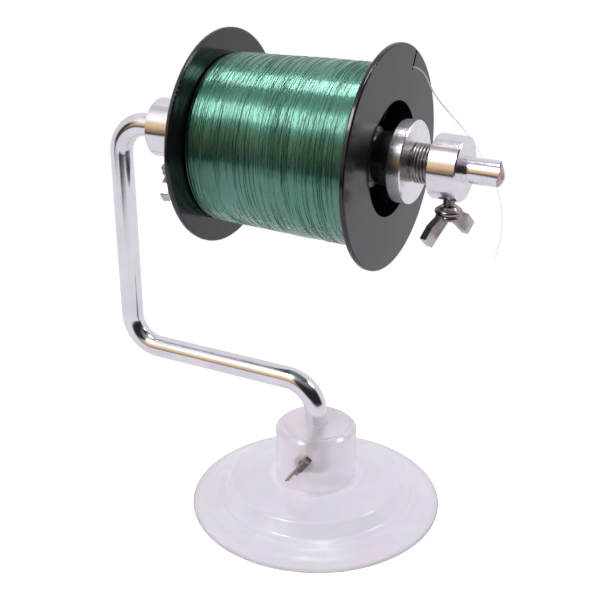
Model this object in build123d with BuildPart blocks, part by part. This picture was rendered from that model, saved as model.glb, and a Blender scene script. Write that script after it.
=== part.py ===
from build123d import *
import math
import os

# Suction-cup spooling stand, holding one spool of monofilament line.
# Millimetres. +Z is up and z = 0 is the surface the suction cup grips. The origin is on the
# vertical swivel axis of the support rod. The spool axle runs along +X, over the cup, and its
# free end points to +X. The side a user faces is -Y.

# --- driving dimensions -------------------------------------------------------------------
RUN_CLEARANCE = 0.05          # radial gap of every running or sliding fit

# bent support rod
ROD_R = 4.0
BEND_R = 11.4                 # centreline radius of the three bends
ROD_FOOT_Z = 14.5             # lower end of the rod, inside the cup's boss
LOWER_RUN_Z = 47.0
LIMB_X = -78.0                # vertical limb, outboard of the spool
AXLE_Z = 132.5
AXLE_END_X = 61.9

SHEAR_FACETS = ((17, 40), (12, 200))   # lean from the axle and turn about it, degrees

# suction cup
CUP_R = 45.0
CUP_LIP_T = 0.8
LIP_SEAT_W = 2.0              # width of the flat ring that touches the table
CUP_DOME_Z = 6.0              # height of the hollow under the cup
STEP_FOOT_R = 33.6
STEP_FOOT_Z = 5.4
PLATEAU_R = 30.8
PLATEAU_Z = 10.3
BOSS_R = 14.5
BOSS_TOP_Z = 32.0
BOSS_EDGE_R = 2.4

# thumb screw that locks the rod in the boss
THUMB_AZIMUTH = 8.5           # degrees from -Y towards +X
THUMB_Z = 22.5
THUMB_ROLL = 54.0             # tilt of the lever head about the screw's own axis
THUMB_HEAD_L = 3.0            # thickness of the head along the screw's axis
THUMB_HEAD_OUTLINE = (        # along the lever, across it
    (-8.6, 1.2),
    (-6.9, 0.2),
    (-3.0, 0.2),
    (-3.0, -0.7),
    (-1.0, -0.85),
    (-0.6, -1.2),
    (4.2, -1.2),
    (4.2, 1.2),
)
THUMB_GROOVE = (4.6, 0.3, 0.4)   # length, width and depth of the two grooves in the thick half
THUMB_GROOVE_AT = ((1.5, -0.6), (1.5, 0.15))
BUSH_R = 3.4
BUSH_L = 7.0

# M4 screws
SCREW_R = 1.95
SCREW_ROOT_R = 1.6
SCREW_PITCH = 0.7
TAPPED_R = 2.0                # wall of every tapped hole
TIP_GAP = 0.08                # gap between a screw's tip and the rod

# spool
SPOOL_LEFT_X = -35.5
SPOOL_RIGHT_X = 26.0
FLANGE_R = 35.5
FLANGE_T = 1.8
FLANGE_EDGE_R = 0.55
BARREL_R = 20.0
BARREL_BORE_R = 18.2
HUB_R = 9.6
HUB_BORE_R = 8.0
HUB_RECESS = 6.0              # hub tube set back from the outer face of the flange
RIB_COUNT = 8
RIB_T = 1.2
WEB_T = 1.2
SLIT_W = 1.0
SLIT_DEPTH = 7.0
SLIT_ANGLE = 28.0             # degrees from +Z towards +Y, seen along the axle
WOUND_SHAPE = (               # distance from the left flange, radius of the wound surface there
    (0.0, 25.6),
    (0.6, 27.2),
    (2.0, 27.7),
    (8.0, 28.0),
    (20.0, 28.2),
    (33.0, 28.6),
    (47.0, 28.75),
    (57.8, 28.8),
)
WINDING_GAP = 0.05
LINE_R = 0.2

# loose end of the line, outside the slit
TAIL_POINTS = (
    (30, 21, 150.5),
    (37.5, 28, 138.5),
    (46.5, 31, 125.5),
    (52, 31, 114),
    (54, 28.5, 104),
    (53, 26, 95),
)

# centring discs, springs and locking collars, the same on both sides of the spool
DISC_R = 13.0
DISC_T = 4.7
DISC_STAND_OFF = 7.6          # outer face of a disc from the outer face of its flange
CONE_BASE_R = 9.4
CONE_TIP_R = 6.6
CONE_L = 16.0
COLLAR_R = 10.0
COLLAR_L = 9.2
SPRING_WIRE_R = 0.42
SPRING_R = 5.85               # radius of the wire's centreline
SPRING_PITCH = 1.02
RIGHT_SPRING_L = 7.0
LEFT_SPRING_L = 8.4
EDGE_BREAK = 0.35

# wing screws
WING_NECK_L = 2.2             # threaded shank showing between collar and hub
WING_HUB_R = 4.3
WING_HUB_L = 5.0
WING_TIP_R = 10.3             # middle of a wing's end, from the screw's axis
WING_TIP_DROP = 9.6           # middle of a wing's end, below the top of the hub
WING_END_W = 4.6
WING_T = 2.4
RIGHT_WING_AZIMUTH = 71.0     # degrees from the axle to the wings' plane, about +Z
LEFT_WING_AZIMUTH = 105.0

# --- places that follow from them ---------------------------------------------------------
SPOOL_MID_X = (SPOOL_LEFT_X + SPOOL_RIGHT_X) / 2
RIGHT_DISC_X = SPOOL_RIGHT_X + DISC_STAND_OFF
LEFT_DISC_X = SPOOL_LEFT_X - DISC_STAND_OFF
RIGHT_COLLAR_X = RIGHT_DISC_X + RIGHT_SPRING_L
LEFT_COLLAR_X = LEFT_DISC_X - LEFT_SPRING_L
BORE_R = ROD_R + RUN_CLEARANCE
AXLE = Axis((0, 0, AXLE_Z), (1, 0, 0))

os.makedirs("parts", exist_ok=True)


def save(piece, name):
    """Label one finished piece and write its STEP file."""
    piece.label = name
    export_step(piece, f"parts/{name}.step")


def axle_plane(x):
    """Sketch plane across the axle at x, with its normal along +X."""
    return Plane(origin=(x, 0, AXLE_Z), x_dir=(0, 1, 0), z_dir=(1, 0, 0))


def outward_plane(x, side):
    """Sketch plane through the axle: local x runs outwards from x, local y is the radius."""
    return Plane(origin=(x, 0, AXLE_Z), x_dir=(side, 0, 0), z_dir=(0, -side, 0))


def around_axle(x, radius, angle):
    """Point at x along the axle, at a radius and an angle from +Z towards +Y."""
    a = math.radians(angle)
    return Vector(x, radius * math.sin(a), AXLE_Z + radius * math.cos(a))


# --- suction cup --------------------------------------------------------------------------
thumb_dir = Vector(math.sin(math.radians(THUMB_AZIMUTH)), -math.cos(math.radians(THUMB_AZIMUTH)), 0)
thumb_plane = Plane(origin=(0, 0, THUMB_Z), x_dir=(0, 0, 1), z_dir=thumb_dir)
BUSH_START = BOSS_R - 1.0 - BUSH_L

with BuildPart() as suction_cup:
    with BuildSketch(Plane.XZ) as cup_profile:
        with BuildLine():
            lip = Line((CUP_R - LIP_SEAT_W, 0), (CUP_R, 0))
            edge = Line(lip @ 1, (CUP_R, CUP_LIP_T))
            skirt = Spline(edge @ 1, (39.5, 2.9), (STEP_FOOT_R, STEP_FOOT_Z))
            riser = Line(skirt @ 1, (PLATEAU_R + 0.4, PLATEAU_Z - 1.6))
            shoulder = RadiusArc(riser @ 1, (PLATEAU_R - 1.4, PLATEAU_Z), -1.8)
            deck = Line(shoulder @ 1, (BOSS_R + 1.8, PLATEAU_Z + 0.4))
            root = RadiusArc(deck @ 1, (BOSS_R, PLATEAU_Z + 2.2), 2.0)
            wall = Line(root @ 1, (BOSS_R, BOSS_TOP_Z - BOSS_EDGE_R))
            crown = RadiusArc(wall @ 1, (BOSS_R - BOSS_EDGE_R, BOSS_TOP_Z), -BOSS_EDGE_R)
            top = Line(crown @ 1, (0, BOSS_TOP_Z))
            axis_line = Line(top @ 1, (0, CUP_DOME_Z))
            dome = ThreePointArc(axis_line @ 1, (24.0, 4.1), lip @ 0)
        make_face()
    revolve(axis=Axis.Z)
    with Locations((0, 0, BOSS_TOP_Z)):
        Hole(BORE_R, depth=BOSS_TOP_Z - ROD_FOOT_Z)
    with BuildSketch(thumb_plane.offset(BUSH_START)):
        Circle(BUSH_R)
    extrude(amount=BOSS_R - BUSH_START + 1, mode=Mode.SUBTRACT)
    with BuildSketch(thumb_plane):
        Circle(TAPPED_R + 0.2)
    extrude(amount=BUSH_START + 0.1, mode=Mode.SUBTRACT)
save(suction_cup.part, "suction_cup")

# --- threaded bush moulded into the boss ----------------------------------------------------
with BuildPart() as thread_bush:
    with BuildSketch(thumb_plane.offset(BUSH_START)):
        Circle(BUSH_R)
        Circle(TAPPED_R, mode=Mode.SUBTRACT)
    extrude(amount=BUSH_L)
save(thread_bush.part, "thread_bush")


def lengthwise(plane):
    """Sketch plane holding a screw's axis: local x is a radius, local y runs out along it."""
    return Plane(origin=plane.origin, x_dir=plane.x_dir, z_dir=plane.x_dir.cross(plane.z_dir))


def screw_outline(tip, length):
    """Half outline of a threaded shank from its tip outwards, teeth as plain rings."""
    points = [(0, tip), (SCREW_ROOT_R, tip)]
    teeth = int((length - 0.3) / SCREW_PITCH)
    for i in range(teeth):
        z = tip + 0.3 + i * SCREW_PITCH
        points += [
            (SCREW_ROOT_R, z),
            (SCREW_R, z + 0.28 * SCREW_PITCH),
            (SCREW_R, z + 0.42 * SCREW_PITCH),
            (SCREW_ROOT_R, z + 0.7 * SCREW_PITCH),
        ]
    points += [(SCREW_ROOT_R, tip + length), (0, tip + length)]
    return points


# --- thumb screw of the boss ----------------------------------------------------------------
THUMB_TIP = ROD_R + TIP_GAP
HEAD_START = BOSS_R + 0.3
THUMB_SHANK_L = HEAD_START + 0.05 - THUMB_TIP    # ends just inside the head
roll = math.radians(THUMB_ROLL)
level_dir = Vector(-thumb_dir.Y, thumb_dir.X, 0)
head_dir = level_dir * math.cos(roll) + Vector(0, 0, 1) * math.sin(roll)

with BuildPart() as base_thumb_screw:
    with BuildSketch(lengthwise(thumb_plane)):
        with BuildLine():
            Polyline(*screw_outline(THUMB_TIP, THUMB_SHANK_L), close=True)
        make_face()
    revolve(axis=Axis(thumb_plane.origin, thumb_dir))
    head_plane = Plane(origin=thumb_plane.origin + thumb_dir * HEAD_START,
                       x_dir=head_dir, z_dir=thumb_dir)
    with BuildSketch(head_plane) as head_outline:
        with BuildLine():
            Polyline(*THUMB_HEAD_OUTLINE, close=True)
        make_face()
        fillet(head_outline.vertices().group_by(Axis(head_plane.origin, head_dir))[0], 0.2)
    extrude(amount=THUMB_HEAD_L)
    with BuildSketch(head_plane.offset(THUMB_HEAD_L)):
        with Locations(*THUMB_GROOVE_AT):
            Rectangle(THUMB_GROOVE[0], THUMB_GROOVE[1])
    extrude(amount=-THUMB_GROOVE[2], mode=Mode.SUBTRACT)
save(base_thumb_screw.part, "base_thumb_screw")

# --- support rod ----------------------------------------------------------------------------
with BuildPart() as support_rod:
    with BuildLine():
        FilletPolyline(
            (0, 0, ROD_FOOT_Z + 0.1),
            (0, 0, LOWER_RUN_Z),
            (LIMB_X, 0, LOWER_RUN_Z),
            (LIMB_X, 0, AXLE_Z),
            (AXLE_END_X, 0, AXLE_Z),
            radius=BEND_R,
        )
    with BuildSketch(Plane.XY.offset(ROD_FOOT_Z + 0.1)):
        Circle(ROD_R)
    sweep()
    chamfer(support_rod.edges().group_by(Axis.Z)[0], 0.5)
    # the free end is sheared off, which leaves slanting facets
    for lean, turn in SHEAR_FACETS:
        lean_angle = math.radians(lean)
        turn_angle = math.radians(turn)
        facet_dir = Vector(math.cos(lean_angle),
                           math.sin(lean_angle) * math.sin(turn_angle),
                           math.sin(lean_angle) * math.cos(turn_angle))
        with BuildSketch(Plane(origin=(AXLE_END_X - 0.3, 0, AXLE_Z), z_dir=facet_dir)):
            Circle(3 * ROD_R)
        extrude(amount=2 * ROD_R, mode=Mode.SUBTRACT)
save(support_rod.part, "support_rod")


# --- locking collars and their wing screws --------------------------------------------------
def make_collar(left_face_x):
    """Round collar on the axle, tapped from below for its wing screw."""
    with BuildPart() as collar:
        with BuildSketch(axle_plane(left_face_x)):
            Circle(COLLAR_R)
        extrude(amount=COLLAR_L)
        chamfer(collar.edges().filter_by(GeomType.CIRCLE), EDGE_BREAK)
        with BuildSketch(axle_plane(left_face_x)):
            Circle(BORE_R)
        extrude(amount=COLLAR_L, mode=Mode.SUBTRACT)
        screw_axis = (left_face_x + COLLAR_L / 2, 0, AXLE_Z)
        with BuildSketch(Plane(origin=screw_axis, z_dir=(0, 0, -1))):
            Circle(TAPPED_R)
        extrude(amount=COLLAR_R + 1, mode=Mode.SUBTRACT)
    return collar.part


def make_wing_screw(x, azimuth):
    """Cast wing screw hanging below the axle at x, its wings in a plane at that azimuth."""
    a = math.radians(azimuth)
    hub_top = COLLAR_R + WING_NECK_L
    hub_end = hub_top + WING_HUB_L
    down = Plane(origin=(x, 0, AXLE_Z), x_dir=(math.cos(a), math.sin(a), 0), z_dir=(0, 0, -1))
    tip = ROD_R + TIP_GAP
    with BuildPart() as screw:
        with BuildSketch(lengthwise(down)):
            with BuildLine():
                Polyline(*screw_outline(tip, hub_top + 0.5 - tip), close=True)
            make_face()
        revolve(axis=Axis(down.origin, down.z_dir))
        with BuildSketch(lengthwise(down)):
            with BuildLine():
                seat = Line((0, hub_top), (2.7, hub_top))
                flare = Line(seat @ 1, (3.5, hub_top + 0.8))
                ring = ThreePointArc(flare @ 1, (WING_HUB_R, hub_top + 1.9), (3.5, hub_top + 2.6))
                bead = ThreePointArc(ring @ 1, (4.0, hub_top + 3.4), (3.3, hub_top + 4.2))
                dome = ThreePointArc(bead @ 1, (2.2, hub_end - 0.35), (0.9, hub_end))
                cap = Line(dome @ 1, (0, hub_end))
                Line(cap @ 1, seat @ 0)
            make_face()
        revolve(axis=Axis(down.origin, down.z_dir))
        for side in (1, -1):
            along = Vector(side * 0.7071, 0.7071)
            across = Vector(side * 0.7071, -0.7071)
            mid = Vector(side * WING_TIP_R, hub_top + WING_TIP_DROP)
            wing_end = lengthwise(down).offset(-WING_T / 2).from_local_coords(mid)
            upper_tip = mid + across * (WING_END_W / 2)
            lower_tip = mid - across * (WING_END_W / 2)
            with BuildSketch(lengthwise(down).offset(-WING_T / 2)) as wing:
                with BuildLine():
                    Polyline(
                        (side * 2.4, hub_top + 1.3),
                        upper_tip - along * 4.6 + across * 0.2,
                        upper_tip,
                        lower_tip,
                        lower_tip - along * 4.2 - across * 0.1,
                        (side * 1.2, hub_top + 4.6),
                        close=True,
                    )
                make_face()
                fillet(wing.vertices().sort_by_distance(wing_end)[:2], 0.9)
            extrude(amount=WING_T)
    return screw.part


for name, face_x, azimuth in (
    ("right", RIGHT_COLLAR_X, RIGHT_WING_AZIMUTH),
    ("left", LEFT_COLLAR_X - COLLAR_L, LEFT_WING_AZIMUTH),
):
    save(make_collar(face_x), f"{name}_collar")
    save(make_wing_screw(face_x + COLLAR_L / 2, azimuth), f"{name}_wing_screw")


# --- centring discs and their springs -------------------------------------------------------
def make_disc(face_x, side):
    """Turned disc with a long cone that centres the spool; side is 1 right, -1 left."""
    with BuildPart() as disc:
        with BuildSketch(outward_plane(face_x, side)):
            with BuildLine():
                Polyline(
                    (0, BORE_R),
                    (0, DISC_R - EDGE_BREAK),
                    (-EDGE_BREAK, DISC_R),
                    (EDGE_BREAK - DISC_T, DISC_R),
                    (-DISC_T, DISC_R - EDGE_BREAK),
                    (-DISC_T, CONE_BASE_R),
                    (-DISC_T - CONE_L, CONE_TIP_R),
                    (-DISC_T - CONE_L, BORE_R),
                    close=True,
                )
            make_face()
        revolve(axis=AXLE)
    return disc.part


def make_spring(start_x, length):
    """Open-ended compression spring around the axle."""
    coil_l = length - 2 * SPRING_WIRE_R - 0.1
    with BuildPart() as spring:
        with BuildLine():
            coil = Helix(SPRING_PITCH, coil_l, SPRING_R,
                         center=(start_x + SPRING_WIRE_R + 0.05, 0, AXLE_Z), direction=(1, 0, 0))
        with BuildSketch(Plane(origin=coil @ 0, z_dir=coil % 0)):
            Circle(SPRING_WIRE_R)
        sweep(is_frenet=True)
    return spring.part


save(make_disc(RIGHT_DISC_X, 1), "right_disc")
save(make_disc(LEFT_DISC_X, -1), "left_disc")
save(make_spring(RIGHT_DISC_X, RIGHT_SPRING_L), "right_spring")
save(make_spring(LEFT_COLLAR_X, LEFT_SPRING_L), "left_spring")


# --- spool ----------------------------------------------------------------------------------
def make_spool_half(side):
    """One moulded half: flange, half of the barrel, hub tube, ribs and a middle web."""
    outer = (SPOOL_RIGHT_X - SPOOL_LEFT_X) / 2
    hub_end = outer - HUB_RECESS
    with BuildPart() as half:
        with BuildSketch(outward_plane(SPOOL_MID_X, side)):
            with BuildLine():
                Polyline(
                    (0, HUB_BORE_R),
                    (0, BARREL_R),
                    (outer - FLANGE_T, BARREL_R),
                    (outer - FLANGE_T, FLANGE_R),
                    (outer, FLANGE_R),
                    (outer, BARREL_BORE_R),
                    (WEB_T, BARREL_BORE_R),
                    (WEB_T, HUB_R),
                    (hub_end, HUB_R),
                    (hub_end, HUB_BORE_R),
                    close=True,
                )
            make_face()
        revolve(axis=AXLE)
        rim = half.edges().filter_by(GeomType.CIRCLE).sort_by(SortBy.RADIUS)[-2:]
        fillet(rim, FLANGE_EDGE_R)
        rib_plane = axle_plane(SPOOL_MID_X + side * WEB_T)
        with BuildSketch(rib_plane):
            with PolarLocations((HUB_R + BARREL_BORE_R) / 2, RIB_COUNT):
                Rectangle(BARREL_BORE_R - HUB_R + 0.6, RIB_T)
        extrude(amount=side * (hub_end - WEB_T - 1.5))
    return half.part


save(make_spool_half(-1), "spool_left_half")

with BuildPart() as spool_right_half:
    add(make_spool_half(1))
    slit_mid = around_axle(SPOOL_RIGHT_X + 1, FLANGE_R - SLIT_DEPTH / 2 + 0.5, SLIT_ANGLE)
    with BuildSketch(Plane(origin=slit_mid, z_dir=(-1, 0, 0),
                           x_dir=around_axle(0, 1, SLIT_ANGLE) - Vector(0, 0, AXLE_Z))):
        SlotOverall(SLIT_DEPTH + 1, SLIT_W)
    extrude(amount=FLANGE_T + 2, mode=Mode.SUBTRACT)
save(spool_right_half.part, "spool_right_half")

# --- wound line and its loose end ------------------------------------------------------------
WOUND_START_X = SPOOL_LEFT_X + FLANGE_T + WINDING_GAP
WOUND_END_X = SPOOL_RIGHT_X - FLANGE_T - WINDING_GAP
WOUND_SPAN = WOUND_END_X - WOUND_START_X
WOUND_BASE_R = BARREL_R + WINDING_GAP

with BuildPart() as line_winding:
    with BuildSketch(outward_plane(WOUND_START_X, 1)):
        with BuildLine():
            wound = Spline(*[(WOUND_SPAN * along / WOUND_SHAPE[-1][0], radius)
                             for along, radius in WOUND_SHAPE])
            Polyline(wound @ 1, (WOUND_SPAN, WOUND_BASE_R), (0, WOUND_BASE_R), wound @ 0)
        make_face()
    revolve(axis=AXLE)
save(line_winding.part, "line_winding")

LOOSE_R = WOUND_SHAPE[-1][1] + LINE_R + 0.15
with BuildPart() as line_tail:
    with BuildLine():
        tail = Spline(
            around_axle(SPOOL_RIGHT_X - 6.5, LOOSE_R, 2),
            around_axle(SPOOL_RIGHT_X - 4.0, LOOSE_R, 18),
            around_axle(SPOOL_RIGHT_X - 1.6, LOOSE_R + 0.4, SLIT_ANGLE - 0.2),
            around_axle(SPOOL_RIGHT_X + 0.4, LOOSE_R + 0.4, SLIT_ANGLE + 0.2),
            *[Vector(*p) for p in TAIL_POINTS],
        )
    with BuildSketch(Plane(origin=tail @ 0, z_dir=tail % 0)):
        Circle(LINE_R)
    sweep()
save(line_tail.part, "line_tail")
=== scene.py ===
import math
import random

import bmesh
import bpy
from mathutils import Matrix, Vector, noise


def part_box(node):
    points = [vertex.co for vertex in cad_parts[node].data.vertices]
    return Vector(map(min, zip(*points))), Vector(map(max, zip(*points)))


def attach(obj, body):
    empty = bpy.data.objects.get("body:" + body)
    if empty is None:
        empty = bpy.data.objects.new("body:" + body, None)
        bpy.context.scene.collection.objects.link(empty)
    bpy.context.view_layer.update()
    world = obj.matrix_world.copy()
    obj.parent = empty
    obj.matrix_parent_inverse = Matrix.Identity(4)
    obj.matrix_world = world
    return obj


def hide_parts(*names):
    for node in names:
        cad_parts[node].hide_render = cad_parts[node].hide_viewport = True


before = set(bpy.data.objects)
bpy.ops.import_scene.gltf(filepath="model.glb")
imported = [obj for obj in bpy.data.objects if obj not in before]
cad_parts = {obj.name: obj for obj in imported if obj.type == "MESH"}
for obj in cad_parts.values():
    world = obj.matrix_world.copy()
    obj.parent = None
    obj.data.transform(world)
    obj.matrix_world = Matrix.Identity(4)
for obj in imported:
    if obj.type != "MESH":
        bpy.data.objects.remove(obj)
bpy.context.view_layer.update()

# Looks of a suction-cup stand that holds a spool of green monofilament line.
# Metres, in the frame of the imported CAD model: the axle runs along X, the user faces -Y.

MM = 0.001

# --- places taken from the frame --------------------------------------------------------------
cup_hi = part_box("suction_cup")[1]
rod_lo, rod_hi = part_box("support_rod")
ROD_R = (rod_hi.y - rod_lo.y) / 2
AXLE_Z = rod_hi.z - ROD_R
LIMB_X = rod_lo.x + ROD_R
AXLE_END_X = rod_hi.x
CUP_R = cup_hi.x
BOSS_TOP_Z = cup_hi.z
AXLE = Vector((0, 0, AXLE_Z))
X_AXIS = Vector((1, 0, 0))
Z_AXIS = Vector((0, 0, 1))

# --- shapes shared with the CAD source --------------------------------------------------------
BEND_R = 11.4 * MM
LOWER_RUN_Z = 47.0 * MM
FOOT_CHAMFER = 0.5 * MM
RUN_CLEARANCE = 0.05 * MM
BARREL_R = 20.0 * MM
WOUND_SHAPE = (               # distance from the left end of the winding, radius there
    (0.0, 25.6), (0.6, 27.2), (2.0, 27.7), (8.0, 28.0),
    (20.0, 28.2), (33.0, 28.6), (47.0, 28.75), (57.8, 28.8),
)
SPRING_WIRE_R = 0.42 * MM
SPRING_R = 5.85 * MM
TORN_FACETS = ((17, 40), (12, 200))     # the sheared end: lean from the axle and turn about it, degrees


# --- mesh helpers -----------------------------------------------------------------------------
def add_object(name, verts, faces, sharp_deg=38.0):
    """Mesh object from vertices and faces, welded, smooth-shaded apart from its real edges."""
    mesh = bpy.data.meshes.new(name)
    mesh.from_pydata([tuple(v) for v in verts], [], [tuple(f) for f in faces])
    bm = bmesh.new()
    bm.from_mesh(mesh)
    bmesh.ops.remove_doubles(bm, verts=bm.verts, dist=1e-7)
    bmesh.ops.dissolve_degenerate(bm, dist=1e-8, edges=bm.edges)
    bmesh.ops.recalc_face_normals(bm, faces=bm.faces)
    bm.to_mesh(mesh)
    bm.free()
    mesh.shade_smooth()
    mesh.set_sharp_from_angle(angle=math.radians(sharp_deg))
    obj = bpy.data.objects.new(name, mesh)
    bpy.context.scene.collection.objects.link(obj)
    return obj


def rounded(corners, steps=5):
    """Outline through (a, r, fillet) corners, each fillet swept as a short arc."""
    points = []
    count = len(corners)
    for i, (a, r, fillet) in enumerate(corners):
        here = Vector((a, r))
        if fillet <= 0:
            points.append(here)
            continue
        before = Vector(corners[i - 1][:2])
        after = Vector(corners[(i + 1) % count][:2])
        to_before = (before - here).normalized()
        to_after = (after - here).normalized()
        half = math.acos(max(-1.0, min(1.0, to_before.dot(to_after)))) / 2
        reach = fillet / math.tan(half)
        centre = here + (to_before + to_after).normalized() * (fillet / math.sin(half))
        start = here + to_before * reach - centre
        end = here + to_after * reach - centre
        for k in range(steps + 1):
            t = k / steps
            spoke = start.lerp(end, t)
            points.append(centre + spoke.normalized() * fillet)
    return points


def turned_faces(segments, n, left_out=()):
    """Faces between segments copies of a closed outline of n points, set round in a ring."""
    faces = []
    for k in range(segments):
        a, b = k * n, ((k + 1) % segments) * n
        for i in range(n):
            j = (i + 1) % n
            if i not in left_out:
                faces.append((a + i, a + j, b + j, b + i))
    return faces


def turned(name, outline, segments, sharp_deg):
    """Closed outline of (height, radius) turned about the vertical axis into a solid."""
    verts = []
    for k in range(segments):
        angle = 2 * math.pi * k / segments
        spoke = Vector((math.cos(angle), math.sin(angle), 0))
        verts += [Z_AXIS * height + spoke * radius for height, radius in outline]
    n = len(outline)
    on_axis = [i for i in range(n) if outline[i][1] == 0 and outline[(i + 1) % n][1] == 0]
    return add_object(name, verts, turned_faces(segments, n, left_out=on_axis), sharp_deg)


def ring_points(centre, across, other, radius, segments):
    """Points of one round section of a bar, starting along across."""
    angles = [2 * math.pi * k / segments for k in range(segments)]
    return [centre + (across * math.cos(angle) + other * math.sin(angle)) * radius for angle in angles]


def bridged(first, rings, segments):
    """Faces that join a run of rings, whose first vertex is number first."""
    faces = []
    for i in range(rings - 1):
        for k in range(segments):
            a = first + i * segments + k
            b = first + i * segments + (k + 1) % segments
            faces.append((a, b, b + segments, a + segments))
    return faces


def ring_face(first, segments):
    """Flat face that closes the ring whose first vertex is number first."""
    return tuple(range(first, first + segments))


def stand_for(obj, node, body, material):
    """Hide the CAD node, ride on its body and take the finish."""
    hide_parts(node)
    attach(obj, body)
    obj.data.materials.clear()
    obj.data.materials.append(material)


def paint(node, material):
    """Give a CAD node its finish."""
    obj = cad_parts[node]
    obj.data.materials.clear()
    obj.data.materials.append(material)


# --- material helpers -------------------------------------------------------------------------
class Shader:
    """A Principled material with short ways to add nodes."""

    def __init__(self, name, **values):
        self.material = bpy.data.materials.new(name)
        self.material.use_nodes = True
        self.tree = self.material.node_tree
        self.bsdf = self.tree.nodes["Principled BSDF"]
        self.output = self.tree.nodes["Material Output"]
        for key, value in values.items():
            self.bsdf.inputs[key.replace("_", " ")].default_value = value
        self.position = self.add("ShaderNodeTexCoord").outputs["Object"]

    def add(self, kind, inputs=None, **settings):
        node = self.tree.nodes.new(kind)
        for key, value in settings.items():
            setattr(node, key, value)
        for key, value in (inputs or {}).items():
            if isinstance(value, bpy.types.NodeSocket):
                self.tree.links.new(value, node.inputs[key])
            else:
                node.inputs[key].default_value = value
        return node

    def link(self, source, target):
        self.tree.links.new(source, self.bsdf.inputs[target] if isinstance(target, str) else target)

    def math(self, operation, a, b=0.0, clamp=False):
        node = self.add("ShaderNodeMath", {0: a, 1: b}, operation=operation, use_clamp=clamp)
        return node.outputs[0]

    def stretched(self, scale):
        """Object coordinates multiplied by scale, for a texture that runs one way."""
        node = self.add("ShaderNodeVectorMath", {0: self.position, 1: scale}, operation="MULTIPLY")
        return node.outputs[0]

    def noise(self, scale, detail=3.0, vector=None, rough=0.5, distortion=0.0):
        node = self.add("ShaderNodeTexNoise", {
            "Vector": vector if vector is not None else self.position,
            "Scale": scale, "Detail": detail, "Roughness": rough, "Distortion": distortion})
        return node.outputs["Fac"]

    def ramp(self, value, *stops):
        node = self.add("ShaderNodeValToRGB", {"Fac": value})
        ramp = node.color_ramp
        while len(ramp.elements) < len(stops):
            ramp.elements.new(0.5)
        for element, (place, colour) in zip(ramp.elements, stops):
            element.position = place
            element.color = (*colour, 1.0)
        return node.outputs["Color"]

    def spread(self, value, low, high, from_low=0.0, from_high=1.0):
        node = self.add("ShaderNodeMapRange", {
            "Value": value, "From Min": from_low, "From Max": from_high,
            "To Min": low, "To Max": high})
        return node.outputs["Result"]

    def bump(self, height, strength, distance, normal=None):
        inputs = {"Height": height, "Strength": strength, "Distance": distance}
        if normal is not None:
            inputs["Normal"] = normal
        return self.add("ShaderNodeBump", inputs).outputs["Normal"]

    def mix(self, factor, a, b):
        node = self.add("ShaderNodeMix", data_type="RGBA")
        for value, socket in ((factor, node.inputs[0]), (a, node.inputs[6]), (b, node.inputs[7])):
            if isinstance(value, bpy.types.NodeSocket):
                self.tree.links.new(value, socket)
            else:
                socket.default_value = value if not isinstance(value, tuple) else (*value, 1.0)
        return node.outputs[2]


def turned_metal(name, colour, rough, marks_across, anisotropy):
    """Aluminium from a lathe: fine rings, small scratches, slightly uneven polish."""
    s = Shader(name, Metallic=1.0, Anisotropic=anisotropy, Anisotropic_Rotation=0.25)
    centred = s.add("ShaderNodeVectorMath", {0: s.position, 1: tuple(AXLE)}, operation="SUBTRACT")
    parts = s.add("ShaderNodeSeparateXYZ", {0: centred.outputs[0]})
    radius = s.math("SQRT", s.math("ADD", s.math("POWER", parts.outputs["Y"], 2.0),
                                   s.math("POWER", parts.outputs["Z"], 2.0)))
    rings = s.math("ADD", radius, parts.outputs["X"])
    ring_vector = s.add("ShaderNodeCombineXYZ", {"X": rings}).outputs[0]
    tool_marks = s.noise(marks_across, 4.0, ring_vector, 0.7)
    smears = s.noise(260.0, 4.0)
    s.link(s.ramp(smears, (0.30, tuple(c * 0.93 for c in colour)), (0.62, colour)), "Base Color")
    marked = s.spread(tool_marks, rough * 0.8, rough * 1.25)
    s.link(s.math("ADD", marked, s.spread(smears, -0.03, 0.05)), "Roughness")
    tangent = s.add("ShaderNodeTangent", direction_type="RADIAL", axis="X")
    s.link(tangent.outputs[0], "Tangent")
    scratches = s.noise(900.0, 2.0, s.stretched((0.2, 1.0, 1.0)), 0.6)
    normal = s.bump(tool_marks, 0.35, 0.00002)
    s.link(s.bump(scratches, 0.08, 0.00002, normal), "Normal")
    return s.material


def polished_rod():
    """Drawn aluminium rod: mirror-like, with faint lengthwise draw lines and a few nicks."""
    s = Shader("polished_rod", Metallic=1.0)
    lines = s.noise(700.0, 3.0, s.stretched((0.05, 1.0, 1.0)), 0.6)
    cloud = s.noise(90.0, 4.0)
    nicks = s.noise(420.0, 6.0, None, 0.75)
    s.link(s.ramp(cloud, (0.3, (0.82, 0.81, 0.85)), (0.7, (0.93, 0.92, 0.95))), "Base Color")
    rough = s.math("ADD", s.spread(cloud, 0.10, 0.19), s.spread(nicks, 0.0, 0.10, 0.62, 0.8))
    s.link(rough, "Roughness")
    normal = s.bump(lines, 0.10, 0.00002)
    s.link(s.bump(nicks, 0.05, 0.00003, normal), "Normal")
    return s.material


def sheared_face():
    """Rough end of the rod where it was cropped, dark in the pits as painted shade and near white on
    the peaks as painted highlight.
    """
    s = Shader("sheared_face", Metallic=0.85)
    torn = s.noise(520.0, 6.0, None, 0.7, 0.6)
    grain = s.noise(1500.0, 4.0)
    # painted shade and painted highlight: the colour follows the same relief as the bump, dark
    # red-brown in the pits and near white on the peaks
    s.link(s.ramp(torn, (0.32, (0.22, 0.10, 0.09)), (0.47, (0.55, 0.36, 0.33)),
                  (0.60, (0.80, 0.68, 0.62)), (0.72, (0.95, 0.90, 0.88))), "Base Color")
    s.link(s.spread(grain, 0.25, 0.55), "Roughness")
    s.link(s.bump(torn, 0.9, 0.0004), "Normal")
    return s.material


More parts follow.
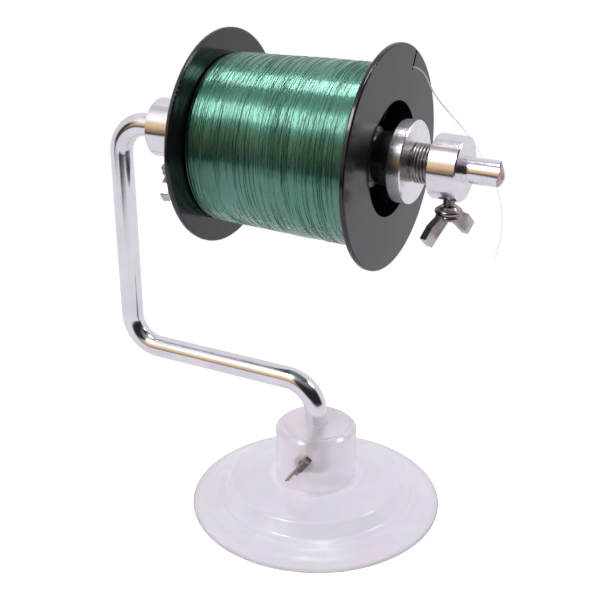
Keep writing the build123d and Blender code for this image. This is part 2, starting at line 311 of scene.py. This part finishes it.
def screw_steel(name, hollow, flat, rubbed):
    """Nickel-plated casting, darker in random patches and rubbed bright on the edges."""
    s = Shader(name, Metallic=1.0)
    cast = s.noise(650.0, 5.0, None, 0.65)
    stain = s.noise(140.0, 4.0)
    edge = s.add("ShaderNodeNewGeometry").outputs["Pointiness"]
    body = s.ramp(stain, (0.32, hollow), (0.66, flat))
    worn = s.ramp(edge, (0.50, (0.0, 0.0, 0.0)), (0.58, (1.0, 1.0, 1.0)))
    s.link(s.mix(worn, body, rubbed), "Base Color")
    s.link(s.spread(cast, 0.16, 0.34), "Roughness")
    s.link(s.bump(cast, 0.30, 0.00012), "Normal")
    return s.material


def spring_wire():
    """Bright drawn wire with oil-darkened sides."""
    s = Shader("spring_wire", Metallic=1.0)
    oil = s.noise(380.0, 4.0)
    s.link(s.ramp(oil, (0.30, (0.26, 0.23, 0.21)), (0.70, (0.50, 0.46, 0.44))), "Base Color")
    s.link(s.spread(oil, 0.38, 0.26), "Roughness")
    s.link(s.bump(s.noise(2400.0, 2.0), 0.10, 0.00003), "Normal")
    return s.material


def bush_metal():
    """Machined brass bush with a dull skin."""
    s = Shader("bush_metal", Metallic=1.0)
    skin = s.noise(600.0, 4.0)
    s.link(s.ramp(skin, (0.3, (0.72, 0.66, 0.54)), (0.7, (0.86, 0.82, 0.74))), "Base Color")
    s.link(s.spread(skin, 0.22, 0.38), "Roughness")
    s.link(s.bump(skin, 0.2, 0.00005), "Normal")
    return s.material


def spool_plastic():
    """Glossy black injection moulding with flow marks and light handling scratches."""
    s = Shader("spool_plastic", IOR=1.60, Specular_Tint=(1.0, 0.96, 1.06, 1.0))
    flow = s.noise(45.0, 5.0, None, 0.6, 0.8)
    scratch_a = s.noise(900.0, 2.0, s.stretched((1.0, 0.06, 1.0)))
    scratch_b = s.noise(800.0, 2.0, s.stretched((1.0, 1.0, 0.07)))
    dust = s.noise(2600.0, 3.0, None, 0.8)
    s.link(s.ramp(flow, (0.3, (0.006, 0.006, 0.007)), (0.7, (0.014, 0.013, 0.015))), "Base Color")
    rough = s.math("ADD", s.spread(flow, 0.10, 0.17), s.spread(dust, 0.0, 0.12, 0.62, 0.8))
    s.link(rough, "Roughness")
    normal = s.bump(flow, 0.05, 0.0004)
    normal = s.bump(scratch_a, 0.04, 0.00003, normal)
    s.link(s.bump(scratch_b, 0.04, 0.00003, normal), "Normal")
    return s.material


def line_plastic(name, dark, light, rough):
    """Green monofilament: light passes through the strands and comes back tinted, glints on top."""
    s = Shader(name, Metallic=0.92, IOR=1.5, Coat_Weight=0.85, Coat_IOR=1.78, Coat_Roughness=0.10)
    around = s.noise(1500.0, 3.0, s.stretched((1.0, 0.05, 0.05)), 0.65)
    patch = s.noise(70.0, 3.0, s.stretched((1.0, 0.5, 0.5)))
    tone = s.math("ADD", s.math("MULTIPLY", around, 0.6), s.math("MULTIPLY", patch, 0.4))
    s.link(s.ramp(tone, (0.34, dark), (0.66, light)), "Base Color")
    s.link(s.spread(around, rough * 0.7, rough * 1.3), "Roughness")
    waves = s.noise(1800.0, 3.0, s.stretched((1.0, 0.10, 0.10)))
    s.link(s.bump(waves, 1.0, 0.00013, s.bump(around, 0.15, 0.00005)), "Normal")
    return s.material


def loose_line():
    """Single strand of the line: nearly clear, white where the light catches it."""
    s = Shader("loose_line", Roughness=0.25, IOR=1.5)
    tone = s.noise(300.0, 3.0)
    s.link(s.ramp(tone, (0.35, (0.92, 0.96, 0.94)), (0.65, (1.0, 1.0, 1.0))), "Base Color")
    normal = s.bump(tone, 0.1, 0.00005)
    s.link(normal, "Normal")
    through = s.add("ShaderNodeBsdfTranslucent", {"Color": (1.0, 1.0, 1.0, 1.0), "Normal": normal})
    lit = s.add("ShaderNodeMixShader", {0: 0.5, 1: s.bsdf.outputs[0], 2: through.outputs[0]})
    clear = s.add("ShaderNodeBsdfTransparent")
    parts = s.add("ShaderNodeSeparateXYZ", {0: s.position})
    fading = s.spread(parts.outputs["X"], 0.15, 0.80, 31.0 * MM, 42.0 * MM)
    unseen = s.math("SUBTRACT", 1.0, s.add("ShaderNodeLightPath").outputs["Is Camera Ray"])
    fading = s.math("MAXIMUM", fading, s.math("MULTIPLY", unseen, 0.9))
    thin = s.add("ShaderNodeMixShader", {0: fading, 1: lit.outputs[0], 2: clear.outputs[0]})
    s.link(thin.outputs[0], s.output.inputs["Surface"])
    return s.material


def clear_pvc():
    """Clear soft PVC, a little milky inside, glossy where the light catches its edges; painted light
    brightens the boss and painted shade darkens the lip.
    """
    s = Shader("clear_pvc", IOR=1.30, Transmission_Weight=1.0)
    haze = s.noise(38.0, 4.0, None, 0.6, 0.5)
    ripple = s.noise(85.0, 3.0)
    fine = s.noise(700.0, 4.0)
    s.link(s.ramp(haze, (0.3, (0.91, 0.90, 0.93)), (0.7, (0.99, 0.97, 0.99))), "Base Color")
    s.link(s.spread(haze, 0.03, 0.10), "Roughness")
    normal = s.bump(fine, 0.03, 0.0001, s.bump(ripple, 0.14, 0.0015))
    s.link(normal, "Normal")
    parts = s.add("ShaderNodeSeparateXYZ", {0: s.position})
    flat = s.add("ShaderNodeCombineXYZ", {"X": parts.outputs["X"], "Y": parts.outputs["Y"]}).outputs[0]
    radius = s.add("ShaderNodeVectorMath", {0: flat}, operation="LENGTH").outputs["Value"]
    pink, lilac = (0.90, 0.82, 0.86), (0.86, 0.82, 0.89)
    blue, cream = (0.84, 0.86, 0.90), (0.91, 0.88, 0.85)
    cloud_tone = s.noise(30.0, 3.0, None, 0.55, 0.8)
    tint = s.ramp(cloud_tone, (0.30, pink), (0.45, lilac), (0.58, blue), (0.70, cream))
    rim = s.spread(radius, 0.0, 1.0, CUP_R - 0.9 * MM, CUP_R - 0.15 * MM)
    # painted shade: the tint is pulled to dark grey in a thin band along the lip, patchy with the haze
    tint = s.mix(s.math("MULTIPLY", rim, s.spread(haze, 0.35, 0.95)), tint, (0.50, 0.45, 0.43))
    boss = s.spread(radius, 1.0, 0.0, 14.0 * MM, 17.0 * MM)
    # painted light: the tint inside the boss is lifted by about 13 per cent
    lift = s.mix(boss, (1.0, 1.0, 1.0), (1.13, 1.13, 1.10))
    tint = s.add("ShaderNodeVectorMath", {0: tint, 1: lift}, operation="MULTIPLY").outputs[0]
    milk = s.add("ShaderNodeBsdfTranslucent", {"Color": tint})
    skin = s.add("ShaderNodeBsdfDiffuse", {"Color": tint})
    cloud = s.add("ShaderNodeMixShader", {0: 0.5, 1: milk.outputs[0], 2: skin.outputs[0]})
    thick = s.math("ADD", s.math("MULTIPLY", boss, 0.22), s.math("MULTIPLY", rim, 0.35))
    density = s.math("ADD", s.spread(haze, 0.28, 0.44), thick)
    milky = s.add("ShaderNodeMixShader", {0: density, 1: s.bsdf.outputs[0], 2: cloud.outputs[0]})
    sheen = s.add("ShaderNodeBsdfAnisotropic", {
        "Color": (1.0, 1.0, 1.0, 1.0), "Roughness": s.spread(radius, 0.10, 0.32, 33.0 * MM, 36.0 * MM),
        "Normal": normal})
    edge_on = s.add("ShaderNodeFresnel", {"IOR": 1.55, "Normal": normal}).outputs[0]
    front = s.add("ShaderNodeNewGeometry").outputs["Backfacing"]
    gloss = s.math("MULTIPLY", edge_on, s.math("SUBTRACT", 1.0, front), clamp=True)
    glossy = s.add("ShaderNodeMixShader", {0: gloss, 1: milky.outputs[0], 2: sheen.outputs[0]})
    clear = s.add("ShaderNodeBsdfTransparent", {"Color": (0.94, 0.93, 0.95, 1.0)})
    shadow = s.add("ShaderNodeLightPath").outputs["Is Shadow Ray"]
    final = s.add("ShaderNodeMixShader", {0: shadow, 1: glossy.outputs[0], 2: clear.outputs[0]})
    s.link(final.outputs[0], s.output.inputs["Surface"])
    return s.material


# --- suction cup ------------------------------------------------------------------------------
def make_suction_cup(material):
    """Clear cup turned from its outline, with mould rings on the skirt and a blind rod socket."""
    lip_w, lip_t = 2.0 * MM, 0.8 * MM
    plateau_r, plateau_z = 30.8 * MM, 10.3 * MM
    step_r, step_z = 33.6 * MM, 5.4 * MM
    boss_r = 14.5 * MM
    shoulder_z = BOSS_TOP_Z - 0.6 * MM
    dome_z = 6.0 * MM
    socket_r = ROD_R + RUN_CLEARANCE
    skirt_r = CUP_R - 0.25 * MM
    outline = [Vector((0.0, CUP_R - lip_w)), Vector((0.0, CUP_R - 0.3 * MM)),
               Vector((0.15 * MM, CUP_R - 0.05 * MM)), Vector((lip_t - 0.2 * MM, CUP_R)),
               Vector((lip_t, skirt_r))]
    steps = 36
    for i in range(1, steps + 1):
        t = i / steps
        r = skirt_r + (step_r - skirt_r) * t
        z = lip_t + (step_z - lip_t) * (0.55 * t + 0.45 * t * t)
        ring = 0.05 * MM * math.sin(t * math.pi * 5) * math.sin(math.pi * t)
        outline.append(Vector((z + ring, r)))
    outline += rounded([(step_z + 0.3 * MM, step_r - 0.3 * MM, 0.0),
                        (plateau_z, plateau_r, 1.7 * MM),
                        (plateau_z + 0.4 * MM, boss_r, 2.0 * MM),
                        (shoulder_z - 1.3 * MM, boss_r, 1.3 * MM),
                        (shoulder_z, boss_r - 1.5 * MM, 0.9 * MM),
                        (shoulder_z, boss_r - 2.3 * MM, 0.2 * MM),
                        (BOSS_TOP_Z, boss_r - 2.5 * MM, 0.5 * MM),
                        (BOSS_TOP_Z, socket_r, 0.25 * MM),
                        (rod_lo.z, socket_r, 0.0)], steps=9)
    outline += [Vector((rod_lo.z, 0.0)), Vector((dome_z, 0.0))]
    for i in range(1, steps):
        t = i / steps
        outline.append(Vector((dome_z * (1 - t * t), (CUP_R - lip_w) * t)))
    cup = turned("suction_cup_clear", outline, segments=256, sharp_deg=50)
    stand_for(cup, "suction_cup", "cup", material)


# --- support rod ------------------------------------------------------------------------------
def rod_path():
    """Centreline points of the bent rod, from its foot to the free end of the axle."""
    corners = [Vector((0, 0, rod_lo.z)), Vector((0, 0, LOWER_RUN_Z)),
               Vector((LIMB_X, 0, LOWER_RUN_Z)), Vector((LIMB_X, 0, AXLE_Z)),
               Vector((AXLE_END_X, 0, AXLE_Z))]
    steps = 24
    points = [corners[0], corners[0] + Z_AXIS * FOOT_CHAMFER]
    for before, here, after in zip(corners, corners[1:], corners[2:]):
        a = (before - here).normalized()
        b = (after - here).normalized()
        centre = here + (a + b) * BEND_R
        for k in range(steps + 1):
            angle = math.pi / 2 * k / steps
            points.append(centre - b * BEND_R * math.cos(angle) - a * BEND_R * math.sin(angle))
    return points


def torn_end_x(y, z):
    """Where the torn end lies at a place on the end face: behind both facets, and rough."""
    set_back = 0.3 * MM
    sunk, roughness = 0.22 * MM, 0.20 * MM
    x = AXLE_END_X
    for lean, turn in TORN_FACETS:
        slope = math.tan(math.radians(lean))
        turn = math.radians(turn)
        x = min(x, AXLE_END_X - set_back - slope * (y * math.sin(turn) + z * math.cos(turn)))
    grain = noise.fractal(Vector((y, z, 0.0)) * 900.0, 0.6, 2.2, 4)
    return x - sunk + roughness * max(-1.0, min(1.0, grain))


def make_support_rod(material, end_material):
    """Polished rod with a chamfered foot and a torn, slanting free end."""
    segments = 72
    axle_rings = 40
    torn_rings = 14
    across = Vector((0, 1, 0))
    path = rod_path()
    bend_end = path[-1]
    axle = X_AXIS * (AXLE_END_X - bend_end.x)
    path += [bend_end + axle * k / axle_rings for k in range(1, axle_rings)]
    verts = []
    for i, centre in enumerate(path):
        ahead = (path[min(i + 1, len(path) - 1)] - path[max(i - 1, 0)]).normalized()
        radius = ROD_R - FOOT_CHAMFER if i == 0 else ROD_R
        verts += ring_points(centre, across, ahead.cross(across).normalized(), radius, segments)
    for ring in range(torn_rings + 1):
        share = 1.0 - ring / torn_rings if ring else 0.995
        for point in ring_points(AXLE, across, Z_AXIS, ROD_R * share, segments):
            verts.append(Vector((torn_end_x(point.y, point.z - AXLE_Z), point.y, point.z)))
    faces = bridged(0, len(path) + torn_rings + 1, segments)
    faces.append(ring_face(0, segments))
    rod = add_object("support_rod_bright", verts, faces, sharp_deg=40)
    stand_for(rod, "support_rod", "arm", material)
    rod.data.materials.append(end_material)
    for polygon in rod.data.polygons:
        middle = polygon.center
        inside_rim = math.hypot(middle.y, middle.z - AXLE_Z) < ROD_R * 0.985
        if inside_rim and middle.x > AXLE_END_X - 3.5 * MM:
            polygon.material_index = 1


# --- springs ----------------------------------------------------------------------------------
def make_spring(name, node, material):
    """Compression spring with closed end coils, between the faces the CAD spring spans."""
    lo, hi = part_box(node)
    start, end = lo.x + SPRING_WIRE_R, hi.x - SPRING_WIRE_R
    closed = 2.05 * SPRING_WIRE_R
    active = end - start - 2 * closed
    pitch = 1.12 * MM
    turns = max(2, round(active / pitch))
    steps = 40
    segments = 14
    centres, spokes = [], []
    for i in range((turns + 2) * steps + 1):
        turn = i / steps
        if turn < 1:
            x = start + closed * turn
        elif turn < turns + 1:
            x = start + closed + active * (turn - 1) / turns
        else:
            x = end - closed * (turns + 2 - turn)
        angle = 2 * math.pi * turn
        spokes.append(Vector((0, math.cos(angle), math.sin(angle))))
        centres.append(Vector((x, 0, AXLE_Z)) + spokes[-1] * SPRING_R)
    verts = []
    last = len(centres) - 1
    for i, (centre, spoke) in enumerate(zip(centres, spokes)):
        ahead = (centres[min(i + 1, last)] - centres[max(i - 1, 0)]).normalized()
        verts += ring_points(centre, spoke, ahead.cross(spoke).normalized(), SPRING_WIRE_R, segments)
    faces = bridged(0, len(centres), segments)
    faces += [ring_face(0, segments), ring_face(last * segments, segments)]
    spring = add_object(name, verts, faces)
    stand_for(spring, node, "arm", material)


# --- line -------------------------------------------------------------------------------------
def wound_radius(along):
    """Radius of the wound surface at a distance from the winding's left end."""
    for (a, r_a), (b, r_b) in zip(WOUND_SHAPE, WOUND_SHAPE[1:]):
        if along <= b * MM:
            return (r_a + (r_b - r_a) * (along / MM - a) / (b - a)) * MM
    return WOUND_SHAPE[-1][1] * MM


def uneven(size, along, around, x, y, z, shift=0.0):
    """Smooth unevenness of a given size; along and around say how fast it changes."""
    return size * noise.noise(Vector((x * along + shift, y * around, z * around)))


def make_winding(material):
    """Wound line: a solid whose surface carries every turn of the outer layer."""
    lo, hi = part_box("line_winding")
    width = hi.x - lo.x
    pitch = 0.35 * MM
    ridge = 0.065 * MM
    sunk = 0.10 * MM
    columns = int(width / pitch) * 5
    around = 240
    barrel_r = BARREL_R + RUN_CLEARANCE
    verts = []
    for k in range(around):
        angle = 2 * math.pi * k / around
        y, z = math.sin(angle), math.cos(angle)
        spoke = Vector((0, y, z))
        verts.append(Vector((lo.x, 0, AXLE_Z)) + spoke * barrel_r)
        for i in range(columns + 1):
            x = lo.x + width * i / columns
            drift = uneven(0.30 * MM, 95.0, 1.3, x, y, z, shift=7.0)
            turn = (x + drift) / pitch + k / around
            lump = uneven(0.16 * MM, 150.0, 1.6, x, y, z)
            bundle = uneven(0.018 * MM, 1300.0, 3.2, x, y, z)
            loose = uneven(0.045 * MM, 0.83, 5.0, math.floor(turn), y, z)
            strand = ridge * (abs(math.sin(math.pi * turn)) - 0.6)
            radius = wound_radius(x - lo.x) + lump + bundle + loose + strand - sunk
            verts.append(Vector((x, 0, AXLE_Z)) + spoke * radius)
        verts.append(Vector((hi.x, 0, AXLE_Z)) + spoke * barrel_r)
    faces = turned_faces(around, columns + 3)
    winding = add_object("line_turns", verts, faces, sharp_deg=75)
    stand_for(winding, "line_winding", "spool", material)


def make_crossing_turns(material):
    """Turns of the last layer that cross the others at a small angle."""
    lo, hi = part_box("line_winding")
    picker = random.Random(11)
    strands = 150
    line_r = 0.10 * MM
    bedded = 0.06 * MM
    segments = 6
    verts, faces = [], []
    for strand in range(strands):
        x0 = picker.uniform(lo.x + 1.6 * MM, hi.x - 0.9 * MM)
        start = picker.uniform(0, 2 * math.pi)
        sweep = picker.uniform(1.0, 4.6)
        skew = picker.gauss(0, 1) * 2.6 * MM
        lift = picker.uniform(0.02, 0.07) * MM
        steps = max(24, int(sweep * 22))
        first = len(verts)
        for i in range(steps + 1):
            t = i / steps
            angle = start + sweep * t
            x = x0 + skew * (t - 0.5) + 0.25 * MM * math.sin(3.0 * t + strand)
            x = min(max(x, lo.x + 1.0 * MM), hi.x - 0.5 * MM)
            rise = lift * math.sin(math.pi * t) ** 0.5
            dive = 0.30 * MM * abs(2 * t - 1) ** 8
            wave = 0.03 * MM * math.sin(9.0 * sweep * t + strand)
            radius = wound_radius(x - lo.x) - bedded + rise - dive + wave
            spoke = Vector((0, math.sin(angle), math.cos(angle)))
            centre = Vector((x, 0, AXLE_Z)) + spoke * radius
            verts += ring_points(centre, spoke, X_AXIS, line_r, segments)
        faces += bridged(first, steps + 1, segments)
        faces += [ring_face(first, segments), ring_face(first + steps * segments, segments)]
    turns = add_object("line_crossing_turns", verts, faces, sharp_deg=80)
    turns.data.materials.append(material)
    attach(turns, "spool")


# --- stage ------------------------------------------------------------------------------------
def make_floor():
    """Round pale floor, white to the camera and fading out.

    In reflections it is a sheet of table paper that ends in front of the object.
    """
    bpy.ops.mesh.primitive_circle_add(vertices=128, radius=0.9, fill_type="NGON")
    floor = bpy.context.object
    floor.name = "floor"
    s = Shader("floor_pale", Roughness=0.9)
    grain = s.ramp(s.noise(60.0, 3.0), (0.2, (1.29, 1.29, 1.29)), (0.8, (1.32, 1.32, 1.32)))
    matt = s.add("ShaderNodeBsdfDiffuse", {"Color": grain})
    parts = s.add("ShaderNodeSeparateXYZ", {0: s.position})
    x, y = parts.outputs["X"], parts.outputs["Y"]
    reach = s.add("ShaderNodeVectorMath", {0: s.position}, operation="LENGTH").outputs["Value"]
    bearing = s.math("DIVIDE", x, s.math("MAXIMUM", reach, 0.001))
    clear = s.add("ShaderNodeBsdfTransparent")
    fade = s.add("ShaderNodeMixShader", {
        0: s.spread(reach, 0.0, 1.0, 0.08, 0.30), 1: matt.outputs[0], 2: clear.outputs[0]})
    # The paper is short towards the viewer, longer to the front left, and runs all the way
    # behind the object and to the far left.
    front_left = s.math("MULTIPLY", s.spread(bearing, 0.0, 1.0, -0.99, -0.95),
                        s.spread(bearing, 1.0, 0.0, -0.20, -0.10))
    limit = s.math("ADD", 0.27, s.math("MULTIPLY", front_left, 0.19))
    limit = s.math("ADD", limit, s.spread(y, 0.0, 1.0, -0.22, -0.12))
    limit = s.math("ADD", limit, s.spread(bearing, 1.0, 0.0, -0.90, -0.80))
    past = s.spread(s.math("SUBTRACT", reach, limit), 0.0, 1.0, 0.0, 0.05)
    sheet = s.ramp(past, (0.0, (0.76, 0.73, 0.79)), (1.0, (0.030, 0.032, 0.028)))
    paper = s.add("ShaderNodeEmission", {"Color": sheet, "Strength": 1.0})
    seen = s.add("ShaderNodeLightPath").outputs["Is Camera Ray"]
    final = s.add("ShaderNodeMixShader", {0: seen, 1: paper.outputs[0], 2: fade.outputs[0]})
    s.link(final.outputs[0], s.output.inputs["Surface"])
    floor.data.materials.append(s.material)


def make_world():
    """Studio seen in reflections.

    A pale backdrop stands behind and to the left. In front is a bright tent over a warm band,
    with dark rooms on both sides of that band.
    """
    world = bpy.data.worlds.new("studio")
    bpy.context.scene.world = world
    world.use_nodes = True
    tree = world.node_tree
    tree.nodes.clear()

    def add(kind, *values, **settings):
        node = tree.nodes.new(kind)
        for key, value in settings.items():
            setattr(node, key, value)
        for socket, value in zip(node.inputs, values):
            if isinstance(value, bpy.types.NodeSocket):
                tree.links.new(value, socket)
            else:
                socket.default_value = value
        return node

    def ramp(value, *stops):
        node = add("ShaderNodeValToRGB", value)
        colours = node.color_ramp
        while len(colours.elements) < len(stops):
            colours.elements.new(0.5)
        for element, (place, colour) in zip(colours.elements, stops):
            element.position = (place + 1.0) / 2
            element.color = (*colour, 1.0)
        return node.outputs[0]

    def step(value, low, high):
        return add("ShaderNodeMapRange", value, low, high, 0.0, 1.0).outputs[0]

    def blend(factor, a, b):
        node = tree.nodes.new("ShaderNodeMix")
        node.data_type = "RGBA"
        tree.links.new(factor, node.inputs[0])
        tree.links.new(a, node.inputs[6])
        tree.links.new(b, node.inputs[7])
        return node.outputs[2]

    direction = add("ShaderNodeTexCoord").outputs["Generated"]
    x, y, z = add("ShaderNodeSeparateXYZ", direction).outputs
    level = add("ShaderNodeMath", x, x, operation="MULTIPLY").outputs[0]
    level = add("ShaderNodeMath", y, y, level, operation="MULTIPLY_ADD").outputs[0]
    level = add("ShaderNodeMath", level, operation="SQRT").outputs[0]
    bearing = add("ShaderNodeMath", x, level, operation="DIVIDE").outputs[0]
    height = add("ShaderNodeMapRange", z, -1.0, 1.0, 0.0, 1.0).outputs[0]

    seam = (0.40, 0.35, 0.39)
    warm = ramp(height, (-0.16, (0.24, 0.16, 0.13)), (0.02, (0.40, 0.27, 0.18)),
                (0.16, (0.72, 0.53, 0.31)), (0.38, (0.90, 0.68, 0.42)),
                (0.50, (1.1, 1.1, 1.1)), (0.88, (1.1, 1.1, 1.1)), (0.93, seam))
    dark_left = ramp(height, (-0.10, (0.014, 0.013, 0.012)), (0.26, (0.02, 0.02, 0.015)),
                     (0.56, (0.95, 0.95, 0.95)), (0.86, (0.95, 0.95, 0.95)), (0.92, seam))
    dark_right = ramp(height, (-0.10, (0.014, 0.013, 0.013)), (0.55, (0.02, 0.019, 0.02)),
                      (0.80, (0.25, 0.23, 0.26)), (0.92, seam))
    back = ramp(height, (0.0, (0.74, 0.72, 0.77)), (0.80, (0.74, 0.72, 0.77)), (0.88, seam))
    past_left = step(bearing, -0.66, -0.74)
    past_right = step(bearing, -0.20, -0.08)
    front = blend(past_right, blend(past_left, warm, dark_left), dark_right)
    wall = add("ShaderNodeMath", step(y, 0.22, 0.42), step(bearing, -0.84, -0.93), operation="MAXIMUM")
    tent = add("ShaderNodeBackground", blend(wall.outputs[0], front, back), 1.0)
    white = add("ShaderNodeBackground", (1.0, 1.0, 1.0, 1.0), 1.0)
    seen = add("ShaderNodeLightPath").outputs["Is Camera Ray"]
    mixed = add("ShaderNodeMixShader", seen, tent.outputs[0], white.outputs[0])
    add("ShaderNodeOutputWorld", mixed.outputs[0])


def make_light(name, place, size, power):
    """Square soft box aimed at the middle of the object."""
    light = bpy.data.lights.new(name, "AREA")
    light.shape = "SQUARE"
    light.size = size
    light.energy = power
    obj = bpy.data.objects.new(name, light)
    obj.location = place
    middle = Vector((0, 0, 0.09))
    aim = middle - Vector(place)
    obj.rotation_euler = aim.to_track_quat("-Z", "Y").to_euler()
    bpy.context.scene.collection.objects.link(obj)


def make_camera():
    """Camera above and to the right of the axle's free end."""
    place = Vector((0.1506, -0.3017, 0.2268))
    heading = math.radians(27.51)
    dip = math.radians(23.60)
    level = math.cos(dip)
    forward = Vector((-math.sin(heading) * level, math.cos(heading) * level, -math.sin(dip)))
    camera = bpy.data.cameras.new("camera")
    camera.sensor_width = 36.0
    camera.lens = 64.8
    camera.clip_start = 0.01
    obj = bpy.data.objects.new("camera", camera)
    obj.location = place
    obj.rotation_euler = forward.to_track_quat("-Z", "Y").to_euler()
    bpy.context.scene.collection.objects.link(obj)
    bpy.context.scene.camera = obj


# --- assembly ---------------------------------------------------------------------------------
aluminium = turned_metal("turned_aluminium", (0.90, 0.88, 0.91), 0.15, 9000.0, 0.35)
disc_metal = turned_metal("polished_aluminium", (0.95, 0.94, 0.96), 0.24, 9000.0, 0.50)
steel = screw_steel("screw_steel", (0.18, 0.15, 0.15), (0.42, 0.37, 0.37), (0.60, 0.55, 0.54))
# painted shade: a darker copy of the screw steel, used for the thumb screw in the base
painted_shade_steel = screw_steel("painted_shade_screw_steel", (0.11, 0.09, 0.09), (0.21, 0.18, 0.17), (0.38, 0.33, 0.32))
black = spool_plastic()
wire = spring_wire()
line_green = line_plastic("line_green", (0.044, 0.205, 0.140), (0.064, 0.270, 0.200), 0.23)
line_loose = line_plastic("line_green_loose", (0.070, 0.285, 0.190), (0.112, 0.38, 0.26), 0.40)

make_suction_cup(clear_pvc())
make_support_rod(polished_rod(), sheared_face())
make_spring("right_spring_coils", "right_spring", wire)
make_spring("left_spring_coils", "left_spring", wire)
make_winding(line_green)
make_crossing_turns(line_loose)
paint("thread_bush", bush_metal())
for node in ("left_collar", "right_collar"):
    paint(node, aluminium)
for node in ("left_disc", "right_disc"):
    paint(node, disc_metal)
for node in ("spool_left_half", "spool_right_half"):
    paint(node, black)
for node in ("left_wing_screw", "right_wing_screw"):
    paint(node, steel)
paint("base_thumb_screw", painted_shade_steel)
paint("line_tail", loose_line())

make_floor()
make_world()
make_light("key_softbox", (-0.25, -0.55, 0.75), 0.30, 2.2)
make_light("top_softbox", (0.0, 0.06, 0.95), 0.28, 2.6)
make_light("side_softbox", (0.57, 0.28, 0.72), 0.20, 1.0)
make_camera()

view = bpy.context.scene.view_settings
view.view_transform = "Standard"
view.exposure = 0.0
